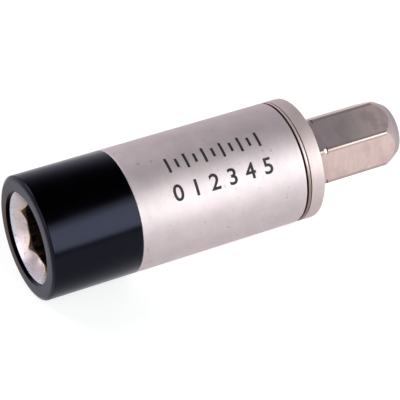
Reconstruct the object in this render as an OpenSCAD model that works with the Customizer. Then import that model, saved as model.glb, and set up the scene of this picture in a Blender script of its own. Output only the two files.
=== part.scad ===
// Torque adapter for quarter-inch hex drives, lying on its side.
// The axis is X: the bit socket opens at the origin and the drive hex points along +X.
// A hidden ball clutch lets the drive hex slip against the barrel at the set torque.

/* [Outside] */
// Length of the black collar
collar_len = 9.1; // [8.8:0.1:10.6]
// Wall of the collar, which sets the diameter of the collar, the barrel and the flange
collar_wall = 1.5; // [1.3:0.05:2.2]
// Open joint between the barrel and the flange
flange_gap = 0.3; // [0.2:0.05:0.5]
// Thickness of the flange on the drive hex
flange_t = 1.75; // [1.4:0.05:3]
// Chamfer on both edges of the flange
edge_break = 0.22; // [0.1:0.02:0.4]
// Width of the slant round the collar's mouth, across its face
mouth_slant_w = 0.42; // [0.2:0.02:0.6]
// Length of the slant round the collar's mouth, along the axis
mouth_slant_len = 0.2; // [0.1:0.02:0.4]
// Fine chamfer on the barrel, on the collar's back edge and on inner pieces
fine_break = 0.12; // [0.04:0.02:0.2]

/* [Bit socket] */
// Diameter of the socket's neck, which carries the collar
neck_d = 9; // [8.6:0.1:9.6]
// Depth of the socket's rim behind the collar's face
rim_recess = 0.37; // [0.1:0.01:0.8]
// Flat width that the countersink leaves on the rim
rim_land = 0.05; // [0.02:0.01:0.2]
// Across flats of the broached socket
socket_af = 6.42; // [6.36:0.02:7]
// How far the broach's corners fall short of a sharp hex
socket_corner_blunt = 0.09; // [0.04:0.01:0.14]
// How much wider the drilled hole is than the socket's flats
drill_over = 0.14; // [0.06:0.02:0.2]
// Depth of the broached hex behind the rim
socket_depth = 8.5; // [7.5:0.1:9.5]
// How much deeper the drilled hole goes than the broach
drill_runout = 0.3; // [0.1:0.1:0.6]
// Wall between the magnet and the clutch
web_t = 0.83; // [0.5:0.01:1.5]
// Diameter of the magnet that holds the bit
magnet_d = 5; // [4:0.1:5.6]
// Thickness of the magnet
magnet_t = 2; // [1.2:0.1:3]

/* [Drive hex] */
// Across flats of the drive hex
stub_af = 6.35; // [6.2:0.05:6.4]
// How far its turned corners fall short of a sharp hex
stub_corner_blunt = 0.05; // [0.04:0.005:0.15]
// Length of the drive hex in front of the flange
stub_len = 10.6; // [9:0.1:14]
// Length of the cone at its tip
tip_len = 1.85; // [1:0.05:2.5]
// How far the cone at the tip draws in below the corners
tip_inset = 1.01; // [0.6:0.01:1.4]
// Distance of the corner groove from the flange
groove_set = 1.6; // [1:0.1:3]
// Width of the corner groove
groove_w = 0.4; // [0.3:0.05:0.8]
// Depth of the corner groove below the corners
groove_depth = 0.07; // [0.05:0.01:0.3]

/* [Drive shaft] */
// Diameter of the shaft and of its thread
shaft_d = 5; // [4.6:0.1:5.2]
// Diameter of the pilot at the shaft's inner end
pilot_d = 3; // [2.4:0.1:3.4]
// Depth of the groove for the retaining ring
clip_groove_depth = 0.4; // [0.3:0.05:0.5]
// Diameter of the two round drive keys
key_d = 1.2; // [0.8:0.1:1.4]

/* [Barrel inside] */
// Wall of the barrel
barrel_wall = 0.85; // [0.7:0.05:1]
// Thickness of the barrel's end wall
end_wall_t = 1.15; // [0.9:0.05:1.8]
// Wall of the bush in the end wall
journal_bush_wall = 0.85; // [0.5:0.05:1]
// Wall of the bush round the shaft's pilot
pilot_bush_wall = 0.7; // [0.4:0.05:0.9]

/* [Ball clutch] */
// Number of balls, half the number of pockets
ball_count = 6; // [4:1:6]
// Diameter of each ball
ball_d = 1.5; // [1.2:0.05:1.6]
// Depth of the pockets in the detent plate
pocket_depth = 0.42; // [0.3:0.02:0.5]
// Thickness of the detent plate
plate_t = 1.4; // [1.2:0.05:2]
// Gap between the detent plate and the cam ring
ring_gap = 0.15; // [0.1:0.05:0.3]
// Length of the cam ring
ring_t = 2.2; // [1.8:0.05:3]
// Diameter of the dowels that lock the detent plate
dowel_d = 0.8; // [0.6:0.1:1]
// Length of those dowels
dowel_len = 1.6; // [1.2:0.1:1.8]
// Number of those dowels
dowel_count = 3; // [2:1:4]

/* [Spring and nut] */
// Diameter of the spring's wire
wire_d = 0.9; // [0.7:0.05:1]
// Length of the spring in place
coil_len = 5.11; // [4.8:0.01:8]
// Number of turns
coil_turns = 3.4; // [2.4:0.1:3.6]
// Thickness of the two spring washers
washer_t = 0.4; // [0.3:0.05:0.6]
// Thickness of the adjusting nut
nut_t = 2.2; // [2:0.1:2.6]
// Diameter of the nut's lock screw
lock_screw_d = 1.6; // [1.2:0.1:1.8]
// Width of the two spanner slots across the nut
spanner_slot_w = 1.2; // [0.8:0.1:1.6]
// Depth of the spanner slots
spanner_slot_depth = 0.55; // [0.4:0.05:0.8]
// Width of the lock screw's driver slot
driver_slot_w = 0.32; // [0.2:0.02:0.4]
// Depth of the lock screw's driver slot
driver_slot_depth = 0.6; // [0.4:0.05:0.9]

/* [Thrust bearing] */
// Thickness of the retaining ring
clip_t = 0.6; // [0.5:0.05:0.7]
// Radial width of the retaining ring
clip_w = 1.3; // [1:0.1:1.6]
// Thickness of each steel race
race_t = 0.3; // [0.2:0.05:0.5]
// Thickness of the bronze washer between the races
thrust_washer_t = 0.3; // [0.2:0.05:0.5]
// Thickness of the sealing ring's cord
seal_cord_d = 0.76; // [0.6:0.02:0.8]

/* [Fits] */
// Radial clearance of a pressed or screwed joint
press_fit = 0.01; // [0.005:0.005:0.02]
// Radial clearance of a running joint
running_fit = 0.03; // [0.02:0.01:0.06]
// Axial play in the thrust bearing
thrust_play = 0.02; // [0.01:0.01:0.05]
// Radial space between the turning inner pieces and the barrel
inner_clear = 0.2; // [0.15:0.05:0.3]

/* [Hidden] */
$fn = 96;

// How far a cutting shape runs past the face that it cuts
past = 0.5;
// Clock angles about the axis, as the adapter lies in the photograph
socket_turn = 38;
stub_turn = -2.8;

neck_r = neck_d / 2;
body_r = neck_r + collar_wall;
shaft_r = shaft_d / 2;
ball_r = ball_d / 2;
barrel_bore_r = body_r - barrel_wall;
inner_r = barrel_bore_r - inner_clear;
// The balls and the spring lie midway between the shaft and the rim of the inner pieces
mid_r = (shaft_r + inner_r) / 2;

// Stations along the axis, from the collar's face
rim_x = rim_recess;
magnet_x = rim_x + socket_depth + drill_runout;
barrel_x = collar_len;
spigot_end_x = magnet_x + magnet_t + web_t;
plate_face_x = spigot_end_x + plate_t;
ring_x = plate_face_x + ring_gap;
ring_end_x = ring_x + ring_t;
coil_x = ring_end_x + washer_t;
coil_end_x = coil_x + coil_len;
nut_x = coil_end_x + washer_t;
clip_x = nut_x + nut_t + thrust_play;
shaft_race_x = clip_x + clip_t;
thrust_washer_x = shaft_race_x + race_t + thrust_play;
housing_race_x = thrust_washer_x + thrust_washer_t;
end_wall_x = housing_race_x + race_t;
barrel_end_x = end_wall_x + end_wall_t;
barrel_len = barrel_end_x - barrel_x;
flange_x = barrel_end_x + flange_gap;
shoulder_x = flange_x + flange_t;

// Clutch geometry
pocket_count = 2 * ball_count;
ball_x = plate_face_x - pocket_depth + ball_r;
ball_step = 360 / ball_count;
pocket_step = 360 / pocket_count;
pocket_r = ball_r + running_fit;
clutch_lift = pocket_depth + running_fit;
key_len = ring_t - 2 * ring_gap - clutch_lift / 2;
key_x = ring_x + 2 * ring_gap;
key_turn = ball_step / 2;
key_count = 2;
dowel_circle_r = (mid_r + barrel_bore_r) / 2;

// Bearings
pilot_bore_r = pilot_d / 2 + running_fit;
pilot_bush_r = pilot_bore_r + pilot_bush_wall;
journal_bore_r = shaft_r + running_fit;
journal_bush_r = journal_bore_r + journal_bush_wall;
clip_bore_r = shaft_r - clip_groove_depth + press_fit;
clip_r = clip_bore_r + clip_w;
clip_gap_half_angle = 32;
seal_r = seal_cord_d / 2;
seal_groove_half_w = seal_r + running_fit;
seal_circle_r = (journal_bush_r + body_r) / 2;
seal_x = barrel_end_x + running_fit + seal_r;
seal_groove_floor_x = seal_x + seal_r;

// Adjusting nut
nut_bore_r = shaft_r + press_fit;
nut_r = inner_r;
lock_screw_r = lock_screw_d / 2;
lock_screw_len = nut_r - shaft_r - fine_break;

// The spring's helix: its centre line climbs from seat to seat and both ends are ground flat
coil_rings_per_turn = 16;
coil_sides = 8;
wire_r = wire_d / 2;
coil_pitch = coil_len / coil_turns;
coil_slope = atan(coil_pitch / (2 * PI * mid_r));
coil_ring_count = ceil(coil_rings_per_turn * coil_turns);
function coil_angle(i) = 360 * coil_turns * i / coil_ring_count;
function coil_centre(angle) = [
    mid_r * cos(angle),
    mid_r * sin(angle),
    coil_pitch * angle / 360
];
function coil_outward(angle) = [cos(angle), sin(angle), 0];
function coil_upward(angle) = [
    sin(coil_slope) * sin(angle),
    -sin(coil_slope) * cos(angle),
    cos(coil_slope)
];
function coil_point(angle, side) =
    let (turn = 360 * side / coil_sides)
    coil_centre(angle)
    + wire_r * cos(turn) * coil_outward(angle)
    + wire_r * sin(turn) * coil_upward(angle);
coil_self_gap = min([
    for (i = [0:coil_ring_count])
        norm(coil_centre(coil_angle(i) + 360) - coil_centre(coil_angle(i)))
]) * cos(coil_slope) - wire_d;
echo(str("least gap of the spring to itself, mm: ", coil_self_gap));

// Puts a shape drawn along Z onto the adapter's axis, its start at x
module on_axis(x) {
    translate([x, 0, 0]) rotate([0, 90, 0]) children();
}

// A plain washer or sleeve on the axis
module sleeve(x, outer_r, inner_bore_r, length) {
    on_axis(x) difference() {
        cylinder(r = outer_r, h = length);
        translate([0, 0, -past]) cylinder(r = inner_bore_r, h = length + 2 * past);
    }
}

// Copies a shape round the axis
module around(count, turn = 0) {
    for (i = [0:count - 1]) rotate([0, 0, turn + 360 * i / count]) children();
}

// Radius to the sharp corner of a hexagon
function hex_corner_r(across_flats) = across_flats / 2 / cos(30);

// A hexagonal bar along Z
module hex_bar(across_flats, length) {
    cylinder(r = hex_corner_r(across_flats), h = length, $fn = 6);
}

// Black sleeve pushed over the socket's neck until it meets the barrel
module collar() {
    bore_r = neck_r + press_fit;
    color([0.05, 0.05, 0.07]) on_axis(0) rotate_extrude() polygon([
        [bore_r, 0],
        [body_r - mouth_slant_w, 0],
        [body_r, mouth_slant_len],
        [body_r, collar_len - fine_break],
        [body_r - fine_break, collar_len],
        [bore_r, collar_len]
    ]);
}

// Nickelled socket: countersunk and broached hex, neck for the collar, spigot in the barrel
module bit_socket() {
    countersink_r = neck_r - rim_land;
    drill_r = (socket_af + drill_over) / 2;
    magnet_seat_r = magnet_d / 2 + press_fit;
    spigot_r = barrel_bore_r - press_fit;
    color([0.78, 0.75, 0.75]) difference() {
        on_axis(0) rotate_extrude() polygon([
            [countersink_r, rim_x],
            [neck_r, rim_x],
            [neck_r, barrel_x],
            [spigot_r, barrel_x],
            [spigot_r, spigot_end_x],
            [0, spigot_end_x],
            [0, magnet_x + magnet_t],
            [magnet_seat_r, magnet_x + magnet_t],
            [magnet_seat_r, magnet_x],
            [drill_r, magnet_x],
            [drill_r, rim_x + countersink_r - drill_r]
        ]);
        on_axis(rim_x - past) intersection() {
            rotate([0, 0, socket_turn]) hex_bar(socket_af, socket_depth + past);
            cylinder(r = hex_corner_r(socket_af) - socket_corner_blunt, h = socket_depth + past);
        }
        dowel_holes();
    }
}

// Disc magnet at the bottom of the socket
module bit_magnet() {
    color([0.7, 0.7, 0.72]) on_axis(magnet_x) rotate_extrude() polygon([
        [0, 0],
        [magnet_d / 2 - fine_break, 0],
        [magnet_d / 2, fine_break],
        [magnet_d / 2, magnet_t],
        [0, magnet_t]
    ]);
}

// Nickelled barrel with an end wall that carries the shaft
module barrel() {
    color([0.76, 0.72, 0.72]) difference() {
        on_axis(barrel_x) rotate_extrude() polygon([
            [0, 0],
            [body_r - fine_break, 0],
            [body_r, fine_break],
            [body_r, barrel_len - fine_break],
            [body_r - fine_break, barrel_len],
            [0, barrel_len]
        ]);
        on_axis(barrel_x - past) cylinder(r = barrel_bore_r, h = end_wall_x - barrel_x + past);
        on_axis(end_wall_x - past) cylinder(r = journal_bush_r + press_fit, h = end_wall_t + 2 * past);
    }
}

// Holes for the dowels, half in the spigot and half in the detent plate
module dowel_holes() {
    on_axis(spigot_end_x - dowel_len / 2) around(dowel_count, pocket_step / 2)
        translate([dowel_circle_r, 0, 0]) cylinder(r = dowel_d / 2 + press_fit, h = dowel_len);
}

// Hardened plate with twice as many ball pockets as there are balls
module detent_plate() {
    color([0.6, 0.6, 0.62]) difference() {
        sleeve(spigot_end_x, barrel_bore_r - press_fit, pilot_bush_r + press_fit, plate_t);
        on_axis(ball_x) around(pocket_count)
            translate([mid_r, 0, 0]) sphere(r = pocket_r);
        dowel_holes();
    }
}

// Dowels that keep the detent plate from turning in the barrel
module plate_dowels() {
    color([0.7, 0.7, 0.72]) on_axis(spigot_end_x - dowel_len / 2)
        around(dowel_count, pocket_step / 2)
            translate([dowel_circle_r, 0, 0]) cylinder(r = dowel_d / 2, h = dowel_len);
}

// Bronze bush in the detent plate for the shaft's pilot
module pilot_bush() {
    color([0.72, 0.52, 0.3]) sleeve(spigot_end_x, pilot_bush_r, pilot_bore_r, plate_t);
}

// Bronze bush in the barrel's end wall for the shaft
module journal_bush() {
    color([0.72, 0.52, 0.3]) sleeve(end_wall_x, journal_bush_r, journal_bore_r, end_wall_t);
}

// Steel race against the end wall
module housing_race() {
    color([0.62, 0.62, 0.65])
        sleeve(housing_race_x, barrel_bore_r - press_fit, journal_bore_r, race_t);
}

// Bronze washer that takes the spring's thrust
module thrust_washer() {
    color([0.75, 0.55, 0.32]) sleeve(thrust_washer_x, inner_r, journal_bore_r, thrust_washer_t);
}

// Outline of the drive hex and flange as a turned shape, from the flange's back face
module stub_turning() {
    corner_r = hex_corner_r(stub_af) - stub_corner_blunt;
    groove_r = corner_r - groove_depth;
    rotate_extrude() polygon([
        [0, 0],
        [corner_r, 0],
        [corner_r, groove_set],
        [groove_r, groove_set],
        [groove_r, groove_set + groove_w],
        [corner_r, groove_set + groove_w],
        [corner_r, stub_len - tip_len],
        [corner_r - tip_inset, stub_len],
        [0, stub_len]
    ]);
}

// Half-round seats for the drive keys, cut in the shaft
module key_seats() {
    on_axis(key_x) around(key_count, key_turn)
        translate([shaft_r, 0, 0]) cylinder(r = key_d / 2 + press_fit, h = key_len);
}

// Drive hex, flange, journal, threaded shaft and pilot, turned from one bar
module drive_shaft() {
    color([0.74, 0.68, 0.67]) {
        on_axis(shoulder_x) intersection() {
            rotate([0, 0, stub_turn]) hex_bar(stub_af, stub_len);
            stub_turning();
        }
        difference() {
            union() {
                on_axis(flange_x) rotate_extrude() polygon([
                    [0, 0],
                    [body_r - edge_break, 0],
                    [body_r, edge_break],
                    [body_r, flange_t - edge_break],
                    [body_r - edge_break, flange_t],
                    [0, flange_t]
                ]);
                on_axis(plate_face_x + ring_gap / 2)
                    cylinder(r = shaft_r, h = flange_x - plate_face_x);
                on_axis(spigot_end_x + ring_gap / 2)
                    cylinder(r = pilot_d / 2, h = plate_t + ring_gap);
            }
            key_seats();
            sleeve(clip_x, shaft_r + past, shaft_r - clip_groove_depth, clip_t);
            on_axis(flange_x - past) difference() {
                cylinder(r = seal_circle_r + seal_groove_half_w,
                         h = seal_groove_floor_x - flange_x + past);
                translate([0, 0, -past])
                    cylinder(r = seal_circle_r - seal_groove_half_w,
                             h = seal_groove_floor_x - flange_x + 3 * past);
            }
        }
    }
}

// Two round keys that turn the cam ring with the shaft
module drive_keys() {
    color([0.7, 0.7, 0.72]) on_axis(key_x) around(key_count, key_turn)
        translate([shaft_r, 0, 0]) cylinder(r = key_d / 2, h = key_len);
}

// Steel race on the shaft, against the retaining ring
module shaft_race() {
    color([0.62, 0.62, 0.65]) sleeve(shaft_race_x, inner_r, shaft_r + press_fit, race_t);
}

// Open retaining ring in the shaft's groove
module retaining_ring() {
    gap_half_w = clip_r * sin(clip_gap_half_angle);
    color([0.35, 0.35, 0.37]) difference() {
        sleeve(clip_x, clip_r, clip_bore_r, clip_t);
        on_axis(clip_x - past) translate([0, -gap_half_w, 0])
            cube([clip_r + past, 2 * gap_half_w, clip_t + 2 * past]);
    }
}

// Nut that sets the spring's load, with spanner slots on its open face
module adjusting_nut() {
    color([0.4, 0.38, 0.36]) difference() {
        sleeve(nut_x, nut_r, nut_bore_r, nut_t);
        on_axis(nut_x + nut_t - spanner_slot_depth)
            translate([-spanner_slot_w / 2, -nut_r - past, 0])
                cube([spanner_slot_w, 2 * (nut_r + past), spanner_slot_depth + past]);
        on_axis(nut_x + nut_t / 2) rotate([0, 90, 0])
            cylinder(r = lock_screw_r + press_fit, h = nut_r + past);
    }
}

// Slotted screw that locks the nut on the thread
module nut_lock_screw() {
    color([0.3, 0.3, 0.32]) on_axis(nut_x + nut_t / 2) rotate([0, 90, 0])
        translate([0, 0, nut_bore_r]) difference() {
            cylinder(r = lock_screw_r, h = lock_screw_len);
            translate([-driver_slot_w / 2, -lock_screw_r - past, lock_screw_len - driver_slot_depth])
                cube([driver_slot_w, lock_screw_d + 2 * past, driver_slot_depth + past]);
        }
}

// Washer between the spring and the nut
module spring_seat() {
    color([0.62, 0.62, 0.65]) sleeve(coil_end_x, inner_r, shaft_r + press_fit, washer_t);
}

// Washer between the spring and the cam ring, which slides on the shaft
module cam_washer() {
    color([0.62, 0.62, 0.65]) sleeve(ring_end_x, inner_r, shaft_r + running_fit, washer_t);
}

// Clutch spring: one wire swept along a helix, both ends ground flat
module main_spring() {
    last = coil_ring_count;
    color([0.5, 0.5, 0.55]) on_axis(coil_x) intersection() {
        polyhedron(
            points = [
                for (i = [0:last]) for (side = [0:coil_sides - 1]) coil_point(coil_angle(i), side)
            ],
            faces = concat(
                [[for (side = [coil_sides - 1:-1:0]) side]],
                [for (i = [0:last - 1]) for (side = [0:coil_sides - 1])
                    [i * coil_sides + side, i * coil_sides + (side + 1) % coil_sides,
                     (i + 1) * coil_sides + side]],
                [for (i = [0:last - 1]) for (side = [0:coil_sides - 1])
                    [i * coil_sides + (side + 1) % coil_sides,
                     (i + 1) * coil_sides + (side + 1) % coil_sides,
                     (i + 1) * coil_sides + side]],
                [[for (side = [0:coil_sides - 1]) last * coil_sides + side]]
            )
        );
        cylinder(r = mid_r + wire_d, h = coil_len);
    }
}

// Sliding ring that holds the balls and is turned by the keys
module cam_ring() {
    color([0.58, 0.58, 0.6]) difference() {
        sleeve(ring_x, inner_r, shaft_r + running_fit, ring_t);
        on_axis(ball_x) around(ball_count) translate([mid_r, 0, 0]) {
            sphere(r = pocket_r);
            translate([0, 0, -ball_d]) cylinder(r = pocket_r, h = ball_d);
        }
        on_axis(ring_x - past) around(key_count, key_turn) translate([shaft_r, 0, 0])
            cylinder(r = key_d / 2 + running_fit, h = ring_t + 2 * past);
    }
}

// Clutch balls, half sunk in the cam ring
module clutch_balls() {
    color([0.85, 0.85, 0.88]) on_axis(ball_x) around(ball_count)
        translate([mid_r, 0, 0]) sphere(r = ball_r);
}

// Sealing ring in the flange, which runs on the barrel's end face
module dust_seal() {
    color([0.08, 0.08, 0.08]) on_axis(seal_x) rotate_extrude()
        translate([seal_circle_r, 0]) circle(r = seal_r);
}

collar();
bit_socket();
bit_magnet();
barrel();
detent_plate();
plate_dowels();
pilot_bush();
journal_bush();
housing_race();
thrust_washer();
drive_shaft();
drive_keys();
shaft_race();
retaining_ring();
adjusting_nut();
nut_lock_screw();
spring_seat();
main_spring();
cam_washer();
cam_ring();
clutch_balls();
dust_seal();
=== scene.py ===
import math

import bpy
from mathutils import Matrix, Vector


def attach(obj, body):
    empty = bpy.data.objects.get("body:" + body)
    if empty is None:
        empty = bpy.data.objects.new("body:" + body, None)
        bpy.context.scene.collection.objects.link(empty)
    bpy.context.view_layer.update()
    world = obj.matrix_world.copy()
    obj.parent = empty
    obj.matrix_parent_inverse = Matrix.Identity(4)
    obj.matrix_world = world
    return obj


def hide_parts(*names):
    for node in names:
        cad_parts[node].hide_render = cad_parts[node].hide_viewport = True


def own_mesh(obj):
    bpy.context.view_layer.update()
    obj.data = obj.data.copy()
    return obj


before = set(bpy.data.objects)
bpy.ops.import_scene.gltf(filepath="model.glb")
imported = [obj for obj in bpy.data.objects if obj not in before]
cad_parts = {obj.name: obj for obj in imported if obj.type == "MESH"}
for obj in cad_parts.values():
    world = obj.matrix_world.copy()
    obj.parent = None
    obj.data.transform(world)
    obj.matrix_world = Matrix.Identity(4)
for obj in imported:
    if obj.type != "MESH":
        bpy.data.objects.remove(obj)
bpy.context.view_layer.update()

MM = 0.001
AXIS_ALONG_X = (0, math.pi / 2, 0)

# How finely the pieces are modelled, and the distance in m within which two points are one
SIDES = 192
SEAT_SIDES = 32
ARC_STEPS = 4
SHARP_ABOVE = math.radians(34)
SAME_POINT = 1e-7

# Stations along X and radii that the outside pieces share, in mm
BODY_R = 6.0
BORE_R = 5.15
NECK_R = 4.5
RIM_X = 0.37
COLLAR_END_X = 9.1
SPIGOT_END_X = 12.0
MAGNET_X = 9.17
MAGNET_END_X = 11.17
BARREL_END_X = 26.55
LIP_X = 26.76
FLANGE_X = 26.85
SHOULDER_X = 28.6
TIP_X = 39.2

# The bit socket's countersink, drilled hole and broached hex
COUNTERSINK_R = NECK_R - 0.05
DRILL_R = 3.28
COUNTERSINK_END_X = RIM_X + COUNTERSINK_R - DRILL_R
BROACH_FLATS = 6.42
BROACH_CORNER_AT = 8
BROACH_END_X = RIM_X + 8.5

# The flange's lip with the nick beside it, and the drive hex with its turned corners
LIP_INNER_R = 5.2
NICK_X = LIP_X + 0.26
NICK_END_X = LIP_X + 0.35
DRIVE_FLATS = 6.35
DRIVE_CORNER_AT = 27.2
CORNER_R = 3.616
GROOVE_X = 30.2
GROOVE_END_X = 30.6
CONE_X = TIP_X - 1.85

# The printed scale on the barrel, its two rows at degrees from +Y towards +Z
PRINT_R = BODY_R + 0.003
INK_THICKNESS = 0.006
STROKE_ROW = 116.0
FIGURE_ROW = 143.5
FIRST_STROKE_X = 13.4
STROKE_STEP = 0.95
STROKE_COUNT = 11
STROKE_WIDTH = 0.27
SHORT_STROKE = 0.6
FIGURE_HEIGHT = 1.58
FIGURE_SIZE = FIGURE_HEIGHT * 1.38
FIGURE_SWELL = 0.038
FIGURE_CORE = 0.01
PRINT_BAND = 0.1
BANDS_EACH_WAY = 12
PRINT_SHARP_ABOVE = math.radians(40)

# The studio: the point that the lamps face, and the camera that sees the adapter as it lies
ADAPTER_MIDDLE = (0.018, 0, 0)
CAMERA_PLACE = (-0.058524, -0.141115, 0.107892)
CAMERA_DOWN = math.radians(34.279)
CAMERA_TURN = math.radians(28.538)
CAMERA_LENS = 182.26


# Modelling

def fresh_start():
    """Deselects everything, so that an operator acts on the new piece alone."""
    bpy.ops.object.select_all(action="DESELECT")


def only(piece):
    """Selects this piece alone and makes it the active one."""
    fresh_start()
    piece.select_set(True)
    bpy.context.view_layer.objects.active = piece


def settle(piece):
    """Puts the piece's place into its mesh and leaves its object at the origin."""
    only(piece)
    bpy.ops.object.transform_apply(location=True, rotation=True, scale=True)


def edit_all():
    """Opens the active piece in edit mode, with all of it selected."""
    bpy.ops.object.mode_set(mode="EDIT")
    bpy.ops.mesh.select_all(action="SELECT")


def face_outwards():
    """Turns all faces of the piece in edit mode outwards and leaves edit mode."""
    bpy.ops.mesh.select_all(action="SELECT")
    bpy.ops.mesh.normals_make_consistent(inside=False)
    bpy.ops.object.mode_set(mode="OBJECT")


def weld(piece):
    """Merges the points that a cut or a bevel leaves on top of each other."""
    only(piece)
    edit_all()
    bpy.ops.mesh.remove_doubles(threshold=SAME_POINT)
    bpy.ops.object.mode_set(mode="OBJECT")


def rounded(outline):
    """Replaces each corner that names a rounding radius by a short arc."""
    points = []
    for i, corner in enumerate(outline):
        at = Vector(corner[:2])
        if len(corner) < 3:
            points.append(tuple(at))
            continue
        back = (Vector(outline[i - 1][:2]) - at).normalized()
        on = (Vector(outline[(i + 1) % len(outline)][:2]) - at).normalized()
        half = back.angle(on) / 2
        centre = at + (back + on).normalized() * corner[2] / math.sin(half)
        reach = corner[2] / math.tan(half)
        start = (at + back * reach - centre).normalized()
        end = (at + on * reach - centre).normalized()
        for step in range(ARC_STEPS + 1):
            points.append(tuple(centre + start.slerp(end, step / ARC_STEPS) * corner[2]))
    return points


def start_turning(name, corner, fill):
    """Adds the first circle of a turned piece, at a station and a radius, and opens it."""
    x, r = corner
    fresh_start()
    bpy.ops.mesh.primitive_circle_add(
        vertices=SIDES, radius=r * MM, fill_type=fill,
        location=(x * MM, 0, 0), rotation=AXIS_ALONG_X)
    piece = bpy.context.object
    piece.name = name
    piece.data.name = name
    edit_all()
    return piece


def turn_on(extrude, start, end):
    """Draws the selected circle on from one corner of an outline to the next."""
    (x0, r0), (x1, r1) = start, end
    extrude(TRANSFORM_OT_translate={"value": ((x1 - x0) * MM, 0, 0)})
    bpy.ops.transform.resize(value=(1, r1 / r0, r1 / r0), center_override=(x1 * MM, 0, 0))


def lathe(name, outline):
    """Turns a closed outline about the axis. Each corner is a station along X and a radius,
    with a rounding radius where it has one, in mm."""
    outline = rounded(outline)
    piece = start_turning(name, outline[0], "NOTHING")
    for start, end in zip(outline, outline[1:] + outline[:1]):
        turn_on(bpy.ops.mesh.extrude_edges_move, start, end)
    bpy.ops.mesh.select_all(action="SELECT")
    bpy.ops.mesh.remove_doubles(threshold=SAME_POINT)
    face_outwards()
    settle(piece)
    bpy.ops.object.shade_smooth_by_angle(angle=SHARP_ABOVE)
    return piece


def lathe_solid(name, outline):
    """Turns an open outline about the axis and closes its two ends with flat faces."""
    outline = rounded(outline)
    piece = start_turning(name, outline[0], "NGON")
    for start, end in zip(outline, outline[1:]):
        turn_on(bpy.ops.mesh.extrude_region_move, start, end)
    face_outwards()
    settle(piece)
    return piece


def hex_bar(name, across_flats, x0, x1, corner_at, corner_round):
    """A hexagonal bar along the axis with its six long edges rounded, in mm and degrees.
    One corner stands at corner_at, counted from +Y towards +Z."""
    fresh_start()
    bpy.ops.mesh.primitive_cylinder_add(
        vertices=6, radius=across_flats / 2 / math.cos(math.radians(30)) * MM,
        depth=(x1 - x0) * MM, location=((x0 + x1) / 2 * MM, 0, 0), rotation=AXIS_ALONG_X)
    piece = bpy.context.object
    piece.name = name
    settle(piece)
    bpy.ops.transform.rotate(
        value=-math.radians(corner_at), orient_axis="X", center_override=(0, 0, 0))
    settle(piece)
    bpy.ops.object.mode_set(mode="EDIT")
    bpy.ops.mesh.select_all(action="DESELECT")
    bpy.ops.object.mode_set(mode="OBJECT")
    for edge in piece.data.edges:
        a, b = (piece.data.vertices[i].co for i in edge.vertices)
        edge.select = abs(a.x - b.x) > (x1 - x0) / 2 * MM
    bpy.ops.object.mode_set(mode="EDIT")
    bpy.ops.mesh.bevel(offset=corner_round * MM, segments=6, profile=0.5, affect="EDGES")
    bpy.ops.object.mode_set(mode="OBJECT")
    return piece


def combine(piece, tool, operation):
    """Cuts, adds or meets the piece with a tool, which is then thrown away."""
    only(piece)
    boolean = piece.modifiers.new(operation, "BOOLEAN")
    boolean.operation = operation
    boolean.solver = "EXACT"
    boolean.object = tool
    bpy.ops.object.modifier_apply(modifier=boolean.name)
    bpy.data.objects.remove(tool)


def cut_round_seats(piece, radius, x0, x1, circle_r, angles):
    """Drills round seats along the axis on a circle, at angles from +Y towards +Z."""
    for angle in angles:
        fresh_start()
        bpy.ops.mesh.primitive_cylinder_add(
            vertices=SEAT_SIDES, radius=radius * MM, depth=(x1 - x0) * MM, rotation=AXIS_ALONG_X,
            location=((x0 + x1) / 2 * MM,
                      circle_r * math.cos(math.radians(angle)) * MM,
                      circle_r * math.sin(math.radians(angle)) * MM))
        drill = bpy.context.object
        settle(drill)
        combine(piece, drill, "DIFFERENCE")


def break_edges(piece, width):
    """Rounds every sharp edge by a little, as tumbling and polishing do."""
    only(piece)
    bevel = piece.modifiers.new("edges", "BEVEL")
    bevel.width = width * MM
    bevel.segments = 2
    bevel.limit_method = "ANGLE"
    bevel.angle_limit = math.radians(24)
    bevel.use_clamp_overlap = False
    bevel.miter_outer = "MITER_SHARP"
    bpy.ops.object.modifier_apply(modifier=bevel.name)
    weld(piece)


def even_shading(piece):
    """Keeps the flats flat and the turned faces round, whatever their cuts are."""
    only(piece)
    bpy.ops.object.shade_smooth_by_angle(angle=SHARP_ABOVE)
    weighted = piece.modifiers.new("shading", "WEIGHTED_NORMAL")
    weighted.keep_sharp = True
    weighted.weight = 100
    bpy.ops.object.modifier_apply(modifier=weighted.name)


# Shader maths

class Wire:
    """An output of a shader node, on which sums are written as plain maths."""

    def __init__(self, board, socket):
        self.board = board
        self.socket = socket

    def calc(self, operation, *values):
        return self.board.node("ShaderNodeMath", {"operation": operation}, dict(enumerate(values)))

    def __add__(self, other):
        return self.calc("ADD", self, other)

    __radd__ = __add__

    def __sub__(self, other):
        return self.calc("SUBTRACT", self, other)

    def __rsub__(self, other):
        return self.calc("SUBTRACT", other, self)

    def __mul__(self, other):
        return self.calc("MULTIPLY", self, other)

    __rmul__ = __mul__

    def __truediv__(self, other):
        return self.calc("DIVIDE", self, other)

    def __pow__(self, other):
        return self.calc("POWER", self, other)

    def __abs__(self):
        return self.calc("ABSOLUTE", self)

    def clipped(self):
        """The value, held between 0 and 1."""
        return self.calc("MINIMUM", self.calc("MAXIMUM", self, 0.0), 1.0)

    def most(self, other):
        """The larger of two values."""
        return self.calc("MAXIMUM", self, other)

    def ramp(self, low, high):
        """Rises smoothly from 0 at low to 1 at high, or falls where low is above high."""
        flipped = low > high
        start, end = (high, low) if flipped else (low, high)
        rise = self.board.node(
            "ShaderNodeMapRange", {"interpolation_type": "SMOOTHSTEP"},
            {"Value": self, "From Min": start, "From Max": end})
        return 1 - rise if flipped else rise


def opaque(colour):
    """A plain colour as a socket takes it. A wire stays as it is."""
    return colour if isinstance(colour, Wire) else (*colour, 1)


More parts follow.
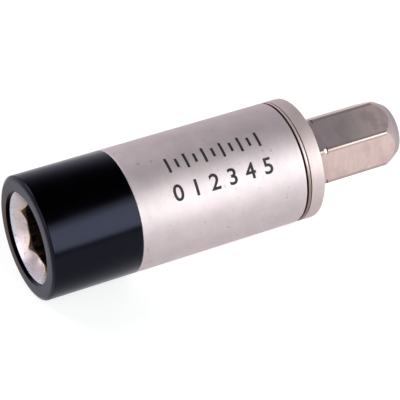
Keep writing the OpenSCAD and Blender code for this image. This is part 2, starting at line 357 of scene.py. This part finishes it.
class Board:
    """The nodes of one material or of the world."""

    def __init__(self, tree):
        self.tree = tree
        tree.nodes.clear()

    def node(self, kind, settings=None, inputs=None, output=0):
        """Adds a node with its settings, then the values and wires of its inputs."""
        made = self.tree.nodes.new(kind)
        for key, value in (settings or {}).items():
            setattr(made, key, value)
        for key, value in (inputs or {}).items():
            if isinstance(value, Wire):
                self.tree.links.new(value.socket, made.inputs[key])
            else:
                made.inputs[key].default_value = value
        return Wire(self, made.outputs[output])

    def blend(self, factor, a, b):
        """Mixes two colours."""
        return self.node(
            "ShaderNodeMix", {"data_type": "RGBA", "clamp_factor": True},
            {0: factor, 6: opaque(a), 7: opaque(b)}, 2)

    def vector(self, operation, a, b):
        return self.node("ShaderNodeVectorMath", {"operation": operation}, {0: a, 1: b})

    def split(self, vector):
        return [self.node("ShaderNodeSeparateXYZ", {}, {0: vector}, i) for i in range(3)]

    def place(self, kind):
        """Where the surface is, or which way a ray goes, in the coordinates of that kind."""
        return self.node("ShaderNodeTexCoord", {}, {}, kind)

    def ray(self, kind):
        """1 for the rays of that kind."""
        return self.node("ShaderNodeLightPath", {}, {}, kind)

    def finish(self, shader, kind="ShaderNodeOutputMaterial"):
        end = self.tree.nodes.new(kind)
        self.tree.links.new(shader.socket, end.inputs[0])


class Finish(Board):
    """A material on Object coordinates, counted in mm along the adapter's axis."""

    def __init__(self, name):
        self.material = bpy.data.materials.new(name)
        self.material.use_nodes = True
        super().__init__(self.material.node_tree)
        self.spot = self.vector("MULTIPLY", self.place("Object"), (1 / MM,) * 3)
        self.x, self.y, self.z = self.split(self.spot)
        self.radius = (self.y * self.y + self.z * self.z) ** 0.5

    def noise(self, scale, detail, rough, seed, stretch=(1, 1, 1)):
        """Noise about 0, with scale grains to the mm, times stretch along each axis."""
        at = self.vector("MULTIPLY", self.spot, tuple(scale * s for s in stretch))
        at = self.vector("ADD", at, (seed, seed * 0.7, -seed))
        raw = self.node("ShaderNodeTexNoise", {"noise_dimensions": "3D"},
                        {"Vector": at, "Scale": 1.0, "Detail": detail, "Roughness": rough})
        return raw - 0.5

    def near_x(self, station, reach):
        """1 at a station along the axis, falling to 0 at that reach on either side."""
        return abs(self.x - station).ramp(reach, 0.0)

    def from_hex_axis(self, corner_at):
        """Distance from the axis, measured square to the nearest flat of a hexagon."""
        sides = []
        for flat_at in (30, 90, 150):
            turn = math.radians(corner_at + flat_at)
            sides.append(abs(self.y * math.cos(turn) + self.z * math.sin(turn)))
        return sides[0].most(sides[1]).most(sides[2])

    def bump(self, height, strength, distance):
        return self.node("ShaderNodeBump", {},
                         {"Strength": strength, "Distance": distance * MM, "Height": height})

    def surface(self, colour, roughness, metallic, normal, ior=1.5, mirror_tint=(1, 1, 1)):
        """Closes the material. Its refraction and mirror tint are the same all over."""
        self.finish(self.node("ShaderNodeBsdfPrincipled", {}, {
            "Base Color": colour, "Roughness": roughness.clipped(), "Metallic": metallic,
            "Normal": normal, "IOR": ior, "Specular Tint": opaque(mirror_tint)}))
        return self.material


def dress(piece, material):
    """Gives the piece this material and no other."""
    piece.data.materials.clear()
    piece.data.materials.append(material)


# Finishes of the outside

class Plate(Finish):
    """Satin nickel plate: turned grain, faint mottling, and rims polished by handling."""

    def __init__(self, name, colour, edges, mottle):
        super().__init__(name)
        self.colour = colour
        self.cloud = self.noise(0.55, detail=4.0, rough=0.6, seed=3.1)
        self.speck = self.noise(3.2, detail=2.0, rough=0.6, seed=8.7)
        self.grain = self.noise(1.0, detail=2.0, rough=0.5, seed=5.3, stretch=(7.0, 0.8, 0.8))
        rim_reach = 0.28
        self.rim = self.near_x(edges[0], rim_reach)
        for station in edges[1:]:
            self.rim = self.rim.most(self.near_x(station, rim_reach))
        tone = (0.5 + self.cloud * 1.2 + self.speck * 0.35 + self.grain * 0.25).clipped()
        base = self.blend(tone, self.shade(1 - mottle * 1.3), self.shade(1 + mottle))
        self.base = self.blend(self.rim * 0.35, base, self.shade(1.12))

    def shade(self, factor):
        """The plate's colour, that much brighter or darker."""
        return tuple(min(c * factor, 1) for c in self.colour)

    def satin(self, rough):
        """The plate's roughness, smoother at its rims."""
        return rough + self.cloud * 0.12 + self.grain * 0.06 - self.rim * 0.06

    def relief(self):
        return self.grain * 0.4 + self.speck * 0.5 + self.cloud * 0.4


def barrel_plate():
    """Plate with faint handling marks: broad smears, small dark specks and fine turned rings."""
    speck_brown = (0.3, 0.22, 0.24)
    plate = Plate("barrel_plate", (0.665, 0.553, 0.58), (COLLAR_END_X, BARREL_END_X), mottle=0.11)
    smears = plate.noise(0.22, detail=4.0, rough=0.62, seed=2.4, stretch=(1.6, 1.0, 1.0))
    specks = plate.noise(1.9, detail=2.0, rough=0.5, seed=9.3).ramp(0.17, 0.26)
    base = plate.blend((smears * 1.6).clipped(), plate.base, plate.shade(0.8))
    base = plate.blend(specks * 0.45, base, speck_brown)
    return plate.surface(base, plate.satin(0.56) + smears * 0.1, 0.7,
                         plate.bump(plate.relief(), 0.2, 0.004), ior=2.1)


def socket_plate():
    """Brighter plate with a painted cool reflection round the countersink, browner towards the
    hole, a thin golden edge at the broach that is partly wear and partly a painted highlight, and
    painted shade deepening inside the broach, with brown patches.
    """
    painted_cool_reflection = (0.66, 0.7, 0.84)
    browning_tone = (0.55, 0.42, 0.4)
    pit_brown = (0.34, 0.24, 0.24)
    gold_wear_and_glint_tone = (0.86, 0.53, 0.2)
    mouth_shade_dark, mouth_brown = (0.008, 0.004, 0.004), (0.21, 0.1, 0.065)
    deep_shade_dark, deep_brown = (0.003, 0.002, 0.0018), (0.05, 0.026, 0.022)
    half_flats = BROACH_FLATS / 2

    plate = Plate("socket_plate", (0.74, 0.65, 0.665), (RIM_X,), mottle=0.15)
    from_flats = plate.from_hex_axis(BROACH_CORNER_AT)
    broach_edge = from_flats.ramp(half_flats + 0.15, half_flats + 0.02)
    gold_wear_and_glint = broach_edge * (0.5 + plate.cloud * 2.2).clipped()
    browning = plate.radius.ramp(4.35, 3.5) * (0.75 + plate.cloud * 1.6).clipped()
    pits = plate.noise(4.5, detail=3.0, rough=0.65, seed=4.1).ramp(0.04, 0.16)
    patch = plate.noise(1.0, detail=4.0, rough=0.68, seed=6.6, stretch=(0.7, 1.5, 1.5))
    inside = plate.radius.ramp(4.3, 4.0)
    mouth = plate.x.ramp(COUNTERSINK_END_X - 0.09, COUNTERSINK_END_X + 0.16) * inside
    deep = plate.x.ramp(COUNTERSINK_END_X + 0.16, COUNTERSINK_END_X + 1.86) * inside
    outermost = plate.radius.ramp(COUNTERSINK_R - 0.4, COUNTERSINK_R)

    # Painted reflection: a cool blue-white tint on the countersink's outer band.
    base = plate.blend(outermost * 0.6, plate.base, painted_cool_reflection)
    # Darker and browner towards the hole.
    base = plate.blend(browning * 0.45, base, browning_tone)
    base = plate.blend(pits * 0.5, base, pit_brown)
    # The golden broach edge is partly wear through the plate and partly a painted highlight.
    base = plate.blend(gold_wear_and_glint * 0.85, base, gold_wear_and_glint_tone)
    # Painted shade: the hole darkens from its mouth to deep inside, with brown patches in it.
    base = plate.blend(mouth, base,
                       plate.blend((0.2 + patch * 4.0).clipped(), mouth_shade_dark, mouth_brown))
    base = plate.blend(deep, base,
                       plate.blend((0.2 + patch * 3.8).clipped(), deep_shade_dark, deep_brown))
    return plate.surface(base, plate.satin(0.3) + mouth * 0.2, 0.8,
                         plate.bump(plate.relief(), 0.35, 0.008))


def milled_hex(plate, flats, bands, lines):
    """The drive hex's colour: milled bands and patches on its flats, darker corners, cone and tip,
    and a painted shadow line where the groove in its corners ends. Flats that face up carry
    painted shade towards the flange and painted light towards the tip; the other flats are tinted
    warm."""
    flat_tone = (0.8, 0.55, 0.51)
    painted_upper_shade, painted_upper_light = (0.49, 0.37, 0.44), (0.92, 0.68, 0.69)
    band_pale, band_dark = (0.8, 0.66, 0.61), (0.5, 0.385, 0.38)
    patch_tone = (0.5, 0.345, 0.35)
    corner_tone = (0.42, 0.33, 0.31)
    cone_tone, tip_tone = (0.4, 0.325, 0.37), (0.4, 0.325, 0.35)
    groove_shade_dark = (0.014, 0.006, 0.005)
    half_flats = DRIVE_FLATS / 2

    # Painted light: flats that face up are darker towards the flange, in painted shade, and paler
    # towards the tip.
    upper = (plate.z / plate.radius).ramp(0.5, 0.6) * flats
    base = plate.blend((flats - upper) * 0.6, plate.base, flat_tone)
    base = plate.blend(upper * plate.x.ramp(TIP_X - 3.2, TIP_X - 9.2) * 0.6, base, painted_upper_shade)
    base = plate.blend(upper * plate.x.ramp(TIP_X - 5.7, TIP_X - 1.7) * 0.75, base, painted_upper_light)
    base = plate.blend(flats * (bands * 2.4 + lines * 0.5).clipped() * 0.7, base, band_pale)
    base = plate.blend(flats * (bands * -2.4 + lines * -0.6).clipped() * 0.7, base, band_dark)

    patches = plate.noise(0.5, detail=4.0, rough=0.6, seed=5.7, stretch=(1.4, 1.0, 1.0))
    past_bar = plate.x.ramp(CONE_X - 0.05, CONE_X + 0.05)
    corners = plate.radius.ramp(CORNER_R - 0.116, CORNER_R - 0.036) * flats * (1 - past_bar)
    from_flats = plate.from_hex_axis(DRIVE_CORNER_AT)
    cone = from_flats.ramp(half_flats - 0.005, half_flats - 0.045) * past_bar
    # Painted shade: a dark line on the wall where the groove in the corners ends.
    groove_end_shade = plate.near_x(GROOVE_END_X - 0.05, 0.1) * flats
    groove_end_shade = groove_end_shade * plate.radius.ramp(CORNER_R - 0.156, CORNER_R - 0.116)
    base = plate.blend(flats * patches.ramp(-0.02, 0.14) * 0.4, base, patch_tone)
    base = plate.blend(corners * 0.85, base, corner_tone)
    base = plate.blend(cone * 0.55, base, cone_tone)
    base = plate.blend(plate.x.ramp(TIP_X - 1.2, TIP_X - 0.2) * 0.7, base, tip_tone)
    return plate.blend(groove_end_shade, base, groove_shade_dark)


def drive_plate():
    """Plate over milled flats, which keep faint bands across them, with a dark brown seam at the
    lip and the nick, partly oil and partly painted shade, and a painted dark reflection on the
    lip's lower side.
    """
    browning_tone = (0.17, 0.105, 0.08)
    seam_oil_and_shade = (0.13, 0.056, 0.042)

    plate = Plate("drive_plate", (0.67, 0.54, 0.54),
                  (FLANGE_X + 0.1, SHOULDER_X - 0.1, TIP_X), mottle=0.08)
    flats = plate.x.ramp(SHOULDER_X + 0.02, SHOULDER_X + 0.06)
    bands = plate.noise(1.0, detail=3.0, rough=0.6, seed=4.9, stretch=(1.1, 0.3, 0.3))
    lines = plate.noise(1.0, detail=2.0, rough=0.5, seed=7.7, stretch=(5.0, 0.5, 0.5))
    outer = plate.radius.ramp(LIP_INNER_R - 0.1, LIP_INNER_R + 0.1)
    sunk = plate.radius.ramp(BODY_R, BODY_R - 0.03) * outer
    nick = sunk * plate.near_x((NICK_X + NICK_END_X) / 2, 0.09)
    seam = outer * plate.x.ramp(LIP_X + 0.035, LIP_X + 0.005)
    dark = seam.most(nick)
    lower = (plate.z / plate.radius).ramp(0.62, 0.25)
    # Painted dark reflection: brown on the lip's lower side, towards the bottom.
    browning = outer * plate.near_x(LIP_X + 0.13, 0.2) * lower

    base = milled_hex(plate, flats, bands, lines)
    base = plate.blend(browning * 0.85, base, browning_tone)
    # The seam at the lip and the nick beside it: partly oil in the joint, partly painted shade in
    # the gap and the groove.
    base = plate.blend(dark, base, seam_oil_and_shade)
    metallic = 0.62 + flats * 0.14 + dark * 0.36
    roughness = plate.satin(0.55) - flats * 0.15 + lines * flats * 0.06 + seam * 0.3
    height = plate.relief() + bands * flats + lines * flats * 0.6
    return plate.surface(base, roughness, metallic, plate.bump(height, 0.2, 0.004))


def black_sleeve():
    """Glossy black sleeve: deep blue black, fine turning marks, rims a little lighter, partly from
    rubbing and partly a painted highlight, a painted warm side on the mouth face, and painted shade
    at the bore.
    """
    black, blue_black = (0.0125, 0.0125, 0.0196), (0.0145, 0.0147, 0.0226)
    rubbed_and_glint = (0.022, 0.022, 0.028)
    face_cool, painted_warm_face = (0.073, 0.064, 0.085), (0.098, 0.058, 0.046)
    bore_shade_dark = (0.002, 0.002, 0.003)

    sleeve = Finish("black_sleeve")
    cloud = sleeve.noise(0.4, detail=3.0, rough=0.55, seed=1.9)
    grain = sleeve.noise(1.0, detail=2.0, rough=0.5, seed=6.1, stretch=(9.0, 0.7, 0.7))
    mouth_rim = sleeve.near_x(0.1, 0.22) * sleeve.radius.ramp(BODY_R - 0.7, BODY_R - 0.3)
    rim = mouth_rim.most(sleeve.near_x(COLLAR_END_X, 0.16))
    face = sleeve.x.ramp(0.06, 0.01)
    warm_side_share = ((sleeve.y * 0.94 - sleeve.z * 0.34) / sleeve.radius).ramp(0.3, 0.95)
    bore_shade_edge = sleeve.radius.ramp(NECK_R + 0.12, NECK_R + 0.04)

    base = sleeve.blend((0.5 + cloud).clipped(), black, blue_black)
    # Lighter rims: partly from rubbing, partly a painted highlight on the mouth's chamfer.
    base = sleeve.blend(rim * 0.5, base, rubbed_and_glint)
    # Painted reflected light: the mouth face is warmer towards one side.
    base = sleeve.blend(face, base, sleeve.blend(warm_side_share, face_cool, painted_warm_face))
    # Painted shade at the edge of the bore.
    base = sleeve.blend(bore_shade_edge, base, bore_shade_dark)
    roughness = 0.2 + cloud * 0.12 + grain * 0.05 + rim * 0.06 + face * 0.17
    return sleeve.surface(base, roughness, 1.0, sleeve.bump(grain + cloud * 0.5, 0.12, 0.002),
                          mirror_tint=(0.88, 0.88, 0.93))


def print_ink():
    """Dark grey pad print with small gaps where the metal's grain takes less ink."""
    ink = Finish("scale_ink")
    speck = ink.noise(7.0, detail=3.0, rough=0.6, seed=2.2)
    base = ink.blend((0.5 + speck * 1.4).clipped(), (0.015, 0.012, 0.015), (0.039, 0.032, 0.037))
    return ink.surface(base, 0.6 + speck * 0.2, 0.0, ink.bump(speck, 0.2, 0.004), ior=1.35)


# Finishes of the pieces inside

FINE_RINGS = (12.0, 1.0, 1.0)
ALL_WAYS = (1.0, 1.0, 1.0)


def ground_steel(name, colour, rough, stretch=FINE_RINGS):
    """Ground, drawn or polished steel, its grain in fine rings round the axis or all ways."""
    steel = Finish(name)
    grain = steel.noise(1.2, detail=2.0, rough=0.5, seed=4.4, stretch=stretch)
    cloud = steel.noise(0.8, detail=3.0, rough=0.6, seed=9.9)
    base = steel.blend((0.5 + grain * 0.8 + cloud * 0.8).clipped(),
                       tuple(c * 0.82 for c in colour), tuple(min(1, c * 1.1) for c in colour))
    return steel.surface(base, rough + grain * 0.14 + cloud * 0.1, 1.0,
                         steel.bump(grain, 0.3, 0.005))


def bearing_bronze():
    """Sintered bronze: warm, porous and dark where oil stands in the pores."""
    bronze = Finish("bearing_bronze")
    pores = bronze.noise(9.0, detail=3.0, rough=0.7, seed=7.3)
    cloud = bronze.noise(1.1, detail=2.0, rough=0.5, seed=2.9)
    base = bronze.blend((0.5 + pores * 1.6 + cloud * 0.6).clipped(),
                        (0.2, 0.1, 0.035), (0.6, 0.4, 0.18))
    return bronze.surface(base, 0.42 + pores * 0.3, 1.0, bronze.bump(pores, 0.4, 0.01))


def seal_rubber():
    """Matt black rubber."""
    rubber = Finish("seal_rubber_black")
    grain = rubber.noise(12.0, detail=2.0, rough=0.6, seed=1.2)
    base = rubber.blend((0.5 + grain).clipped(), (0.012, 0.011, 0.011), (0.03, 0.028, 0.027))
    return rubber.surface(base, 0.6 + grain * 0.2, 0.0, rubber.bump(grain, 0.3, 0.006))


def dress_inner_nodes():
    """Gives a finish to each CAD node that is shown with its own mesh."""
    # The magnet's plate is toned darker than bright nickel: painted shade for its place deep in the
    # socket.
    magnet = ground_steel("magnet_plate", (0.36, 0.35, 0.36), 0.34)
    polished = ground_steel("polished_balls", (0.7, 0.7, 0.72), 0.08, ALL_WAYS)
    rubber = seal_rubber()
    hard = ground_steel("ground_steel", (0.42, 0.42, 0.44), 0.28)
    oiled = ground_steel("oiled_black_steel", (0.08, 0.08, 0.085), 0.38)
    bronze = bearing_bronze()
    for material, names in (
            (magnet, ("bit_magnet",)),
            (polished, ("clutch_balls",)),
            (rubber, ("dust_seal",)),
            (hard, ("detent_plate", "plate_dowels", "housing_race", "drive_keys", "shaft_race",
                    "spring_seat", "cam_washer", "cam_ring")),
            (oiled, ("retaining_ring", "adjusting_nut", "nut_lock_screw")),
            (bronze, ("pilot_bush", "journal_bush", "thrust_washer"))):
        for name in names:
            dress(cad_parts[name], material)


# Pieces

def stands_for(piece, body, node, material):
    """Dresses the piece and its CAD node, and puts the piece in that node's place."""
    dress(piece, material)
    dress(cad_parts[node], material)
    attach(piece, body)
    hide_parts(node)


def make_collar(material):
    """Black sleeve: a flat ring at the mouth, slanting off softly to the outside."""
    bore = NECK_R + 0.01
    slant_x = 0.2
    slant_r = BODY_R - 0.42
    piece = lathe("collar_sleeve", [
        (0.0, bore, 0.02), (0.0, slant_r, 0.5), (slant_x, BODY_R, 0.16),
        (COLLAR_END_X, BODY_R, 0.08), (COLLAR_END_X, bore)])
    stands_for(piece, "housing", "collar", material)


def make_barrel(material):
    """Nickelled barrel with the end wall that carries the shaft's bush."""
    wall_bore = 3.39
    end_wall = BARREL_END_X - 1.15
    piece = lathe("barrel_tube", [
        (COLLAR_END_X, BORE_R), (COLLAR_END_X, BODY_R, 0.09), (BARREL_END_X, BODY_R, 0.03),
        (BARREL_END_X, wall_bore), (end_wall, wall_bore), (end_wall, BORE_R)])
    stands_for(piece, "housing", "barrel", material)


def make_socket(material):
    """Bit socket: countersink, broached hex, drilled end, magnet seat and spigot."""
    spigot = BORE_R - 0.01
    magnet_seat = 2.51
    dowel_seat = 0.41
    dowel_circle = 4.4375
    piece = lathe_solid("bit_socket_body", [
        (MAGNET_END_X, magnet_seat), (MAGNET_X, magnet_seat), (MAGNET_X, DRILL_R),
        (COUNTERSINK_END_X, DRILL_R), (RIM_X, COUNTERSINK_R), (RIM_X, NECK_R),
        (COLLAR_END_X, NECK_R), (COLLAR_END_X, spigot), (SPIGOT_END_X, spigot)])
    broach = hex_bar("broach", BROACH_FLATS, RIM_X - 0.5, BROACH_END_X, BROACH_CORNER_AT, 0.12)
    combine(piece, broach, "DIFFERENCE")
    cut_round_seats(piece, dowel_seat, SPIGOT_END_X - 0.8, SPIGOT_END_X + 0.5,
                    dowel_circle, (-75, 45, 165))
    break_edges(piece, 0.035)
    even_shading(piece)
    stands_for(piece, "housing", "bit_socket", material)


def make_hex():
    """The drive hex with its root inside the flange: corners turned round, a groove cut in
    them, and a cone at the tip that bends over softly."""
    root_x = SHOULDER_X - 0.3
    groove_r = CORNER_R - 0.07
    cone_bend = (TIP_X - 0.8, CORNER_R - 0.5, 1.2)
    tip_edge = (TIP_X, CORNER_R - 0.97, 0.06)
    turned = lathe_solid("hex_turning", [
        (root_x, CORNER_R), (GROOVE_X, CORNER_R), (GROOVE_X, groove_r),
        (GROOVE_END_X, groove_r), (GROOVE_END_X, CORNER_R), (CONE_X, CORNER_R),
        cone_bend, tip_edge, (TIP_X, 1.0)])
    flats = hex_bar("hex_flats", DRIVE_FLATS, root_x - 0.3, TIP_X + 0.5, DRIVE_CORNER_AT, 0.05)
    combine(turned, flats, "INTERSECT")
    break_edges(turned, 0.02)
    return turned


def make_drive(material):
    """Drive hex, flange and shaft in one piece, with a fine lip where the flange meets the
    barrel, grooves for the seal and the retaining ring, and seats for the two keys."""
    pilot_x, journal_x = 12.07, 13.475
    pilot_r, journal_r = 1.5, 2.5
    ring_x, ring_end_x, ring_r = 23.88, 24.48, 2.1
    lip_r = BODY_R - 0.02
    nick_r = BODY_R - 0.2
    edge_round = 0.06
    stub = make_hex()
    piece = lathe_solid("drive_hex_and_flange", [
        (pilot_x, pilot_r), (journal_x, pilot_r), (journal_x, journal_r),
        (ring_x, journal_r), (ring_x, ring_r), (ring_end_x, ring_r), (ring_end_x, journal_r),
        (FLANGE_X, journal_r), (FLANGE_X, LIP_INNER_R), (LIP_X, LIP_INNER_R),
        (LIP_X, lip_r, 0.03), (NICK_X, lip_r, 0.02), (NICK_X, nick_r), (NICK_END_X, nick_r),
        (NICK_END_X, BODY_R, 0.04), (SHOULDER_X - 0.12, BODY_R, edge_round),
        (SHOULDER_X, BODY_R - 0.14, edge_round), (SHOULDER_X, 2.9)])

    seal_x, seal_end_x = FLANGE_X - 0.5, 27.34
    seal_mid, seal_half = 4.69, 0.41
    seal_groove = lathe("seal_groove", [
        (seal_x, seal_mid - seal_half), (seal_x, seal_mid + seal_half),
        (seal_end_x, seal_mid + seal_half), (seal_end_x, seal_mid - seal_half)])
    combine(piece, seal_groove, "DIFFERENCE")

    key_seat = 0.61
    key_x, key_end_x = 13.85, 15.525
    cut_round_seats(piece, key_seat, key_x, key_end_x, journal_r, (-60, 120))
    combine(piece, stub, "UNION")
    weld(piece)
    even_shading(piece)
    stands_for(piece, "drive", "drive_shaft", material)


def make_spring(material):
    """Clutch spring: a wire along a helix, ground flat at its ends."""
    start = 16.15
    length = 5.11
    turns = 3.4
    end = start + length
    wire_r = 0.45
    wire_sides = 12
    coil_r = 3.725
    coil_steps = 110
    fresh_start()
    bpy.ops.mesh.primitive_circle_add(
        vertices=wire_sides, radius=wire_r * MM, location=(start * MM, 0, -coil_r * MM),
        rotation=(math.pi / 2, 0, 0))
    piece = bpy.context.object
    piece.name = "clutch_spring"
    settle(piece)
    screw = piece.modifiers.new("coil", "SCREW")
    screw.axis = "X"
    screw.angle = 2 * math.pi * turns
    screw.screw_offset = length * MM
    screw.steps = coil_steps
    bpy.ops.object.modifier_apply(modifier=screw.name)
    edit_all()
    bpy.ops.mesh.fill_holes(sides=0)
    for station, outward in ((start, -1), (end, 1)):
        bpy.ops.mesh.select_all(action="SELECT")
        bpy.ops.mesh.bisect(plane_co=(station * MM, 0, 0), plane_no=(outward, 0, 0),
                            use_fill=True, clear_outer=True, threshold=SAME_POINT)
    face_outwards()
    bpy.ops.object.shade_smooth_by_angle(angle=SHARP_ABOVE)
    stands_for(piece, "drive", "main_spring", material)
    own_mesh(piece)


# The printed scale

def wrap(piece, row):
    """Cuts a flat print into narrow bands and bends it round the barrel, up being towards +Z."""
    only(piece)
    bpy.ops.object.mode_set(mode="EDIT")
    for step in range(-BANDS_EACH_WAY, BANDS_EACH_WAY + 1):
        bpy.ops.mesh.select_all(action="SELECT")
        bpy.ops.mesh.bisect(plane_co=(0, step * PRINT_BAND * MM, 0), plane_no=(0, 1, 0))
    bpy.ops.object.mode_set(mode="OBJECT")
    for vertex in piece.data.vertices:
        turn = math.radians(row) - vertex.co.y / (BODY_R * MM)
        reach = PRINT_R * MM + vertex.co.z
        vertex.co = (vertex.co.x, reach * math.cos(turn), reach * math.sin(turn))


def make_stroke(x, height):
    """A straight stroke across the barrel."""
    fresh_start()
    bpy.ops.mesh.primitive_cube_add(size=MM, location=(x * MM, 0, 0))
    stroke = bpy.context.object
    bpy.ops.transform.resize(value=(STROKE_WIDTH, height, INK_THICKNESS))
    settle(stroke)
    wrap(stroke, STROKE_ROW)
    return stroke


def make_figure(x, value):
    """A figure that is swollen to a bold line all round and pressed flat. It is made in
    units of 1 mm, and scaled down as it is settled."""
    fresh_start()
    bpy.ops.object.text_add(location=(0, 0, 0))
    figure = bpy.context.object
    figure.data.body = str(value)
    figure.data.align_x = "CENTER"
    figure.data.align_y = "CENTER"
    figure.data.size = FIGURE_SIZE
    figure.data.extrude = FIGURE_CORE
    figure.data.bevel_depth = FIGURE_SWELL
    figure.data.bevel_resolution = 0
    figure.data.resolution_u = 6
    bpy.ops.object.convert(target="MESH")
    edit_all()
    bpy.ops.mesh.remove_doubles(threshold=SAME_POINT / MM)
    bpy.ops.object.mode_set(mode="OBJECT")
    figure.scale = (MM, MM, MM * INK_THICKNESS / (2 * FIGURE_SWELL + 2 * FIGURE_CORE))
    figure.location = (x * MM, 0, 0)
    settle(figure)
    wrap(figure, FIGURE_ROW)
    return figure


def make_print(material):
    """The scale in one piece: every other stroke is long and has a figure below it."""
    parts = []
    for i in range(STROKE_COUNT):
        x = FIRST_STROKE_X + i * STROKE_STEP
        if i % 2 == 0:
            parts.append(make_stroke(x, FIGURE_HEIGHT))
            parts.append(make_figure(x, i // 2))
        else:
            parts.append(make_stroke(x, FIGURE_HEIGHT * SHORT_STROKE))
    fresh_start()
    for part in parts:
        part.select_set(True)
    bpy.context.view_layer.objects.active = parts[0]
    bpy.ops.object.join()
    piece = bpy.context.object
    piece.name = "barrel_scale_print"
    bpy.ops.object.mode_set(mode="EDIT")
    face_outwards()
    bpy.ops.object.shade_smooth_by_angle(angle=PRINT_SHARP_ABOVE)
    dress(piece, material)
    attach(piece, "housing")


# Studio

def make_floor():
    """White paper that keeps the adapter's shadow, and fades into the backdrop far off.
    It glows a little for camera, mirror and glass rays, and is plain paper for all others."""
    paper_width = 4.0
    paper_back = 1.95
    fresh_start()
    bpy.ops.mesh.primitive_plane_add(size=paper_width, location=(0, paper_back, -BODY_R * MM))
    floor = bpy.context.object
    floor.name = "floor"
    settle(floor)
    material = bpy.data.materials.new("floor_paper")
    material.use_nodes = True
    board = Board(material.node_tree)
    x, y = board.split(board.place("Object"))[:2]
    far = ((x * x + y * y) ** 0.5).ramp(0.12, 0.3)
    camera = board.ray("Is Camera Ray")
    backdrop = (camera + board.ray("Is Glossy Ray") + board.ray("Is Transmission Ray")).clipped()
    paper = board.node("ShaderNodeBsdfDiffuse", {}, {"Color": (0.45, 0.45, 0.45, 1)})
    glow = board.node("ShaderNodeEmission", {},
                      {"Color": (1, 1, 1, 1), "Strength": 0.5 + camera * (0.24 + far * 0.26)})
    seen = board.node("ShaderNodeAddShader", {}, {0: paper, 1: glow})
    plain = board.node("ShaderNodeBsdfDiffuse", {}, {"Color": (0.5, 0.5, 0.5, 1)})
    board.finish(board.node("ShaderNodeMixShader", {}, {0: backdrop, 1: plain, 2: seen}))
    dress(floor, material)


def make_sky():
    """Pale wall of light round the horizon, dark overhead; white where the camera looks."""
    world = bpy.data.worlds.new("studio")
    bpy.context.scene.world = world
    world.use_nodes = True
    board = Board(world.node_tree)
    y, z = board.split(board.place("Generated"))[1:]
    behind = y.ramp(-0.35, 0.25)
    wall = z.ramp(0.88, 0.1)
    light = 0.03 + wall * (0.26 + behind * 0.48)
    camera = board.ray("Is Camera Ray")
    tint = board.blend(camera, (0.97, 0.95, 1.03), (1, 1, 1))
    sky = board.node("ShaderNodeBackground", {},
                     {"Color": tint, "Strength": light + camera * (1 - light)})
    board.finish(sky, "ShaderNodeOutputWorld")


def from_adapter(azimuth, elevation, distance):
    """A place seen from the adapter at an azimuth from -Y towards +X and an elevation."""
    turn, rise = math.radians(azimuth), math.radians(elevation)
    return (ADAPTER_MIDDLE[0] + distance * math.cos(rise) * math.sin(turn),
            -distance * math.cos(rise) * math.cos(turn),
            distance * math.sin(rise))


def soft_box(name, place, size, radiance, colour=(1, 1, 1)):
    """An oblong lamp that faces the adapter, with its brightness as it is seen in a mirror."""
    lamp = bpy.data.lights.new(name, "AREA")
    lamp.shape = "RECTANGLE"
    lamp.color = colour
    lamp.size, lamp.size_y = size
    lamp.energy = radiance * math.pi * size[0] * size[1]
    box = bpy.data.objects.new(name, lamp)
    bpy.context.scene.collection.objects.link(box)
    box.location = place
    aim = Vector(ADAPTER_MIDDLE) - Vector(place)
    box.rotation_euler = aim.to_track_quat("-Z", "Y").to_euler()


def make_camera():
    """Looks down at the adapter from the front left, with the bit socket's mouth in view."""
    camera = bpy.data.cameras.new("camera")
    camera.lens = CAMERA_LENS
    camera.sensor_width = 36
    camera.clip_start = 0.01
    camera.clip_end = 20
    view = bpy.data.objects.new("camera", camera)
    bpy.context.scene.collection.objects.link(view)
    view.location = CAMERA_PLACE
    view.rotation_euler = (math.pi / 2 - CAMERA_DOWN, 0, -CAMERA_TURN)
    bpy.context.scene.camera = view


make_collar(black_sleeve())
make_barrel(barrel_plate())
make_socket(socket_plate())
make_drive(drive_plate())
make_print(print_ink())
make_spring(ground_steel("spring_wire", (0.3, 0.3, 0.33), 0.3, ALL_WAYS))
dress_inner_nodes()

make_floor()
make_sky()
soft_box("key_wide", from_adapter(28, 24, 0.5), (0.55, 0.42), 1.9, (0.97, 1.0, 0.97))
soft_box("key_heart", from_adapter(28, 19, 0.45), (0.5, 0.32), 2.3, (0.85, 1.0, 0.965))
soft_box("overhead", (-0.14, 0.28, 0.35), (0.3, 0.3), 3.6)
soft_box("side", from_adapter(-82, 18, 0.4), (0.34, 0.26), 1.5)
make_camera()
bpy.context.scene.view_settings.view_transform = "Standard"
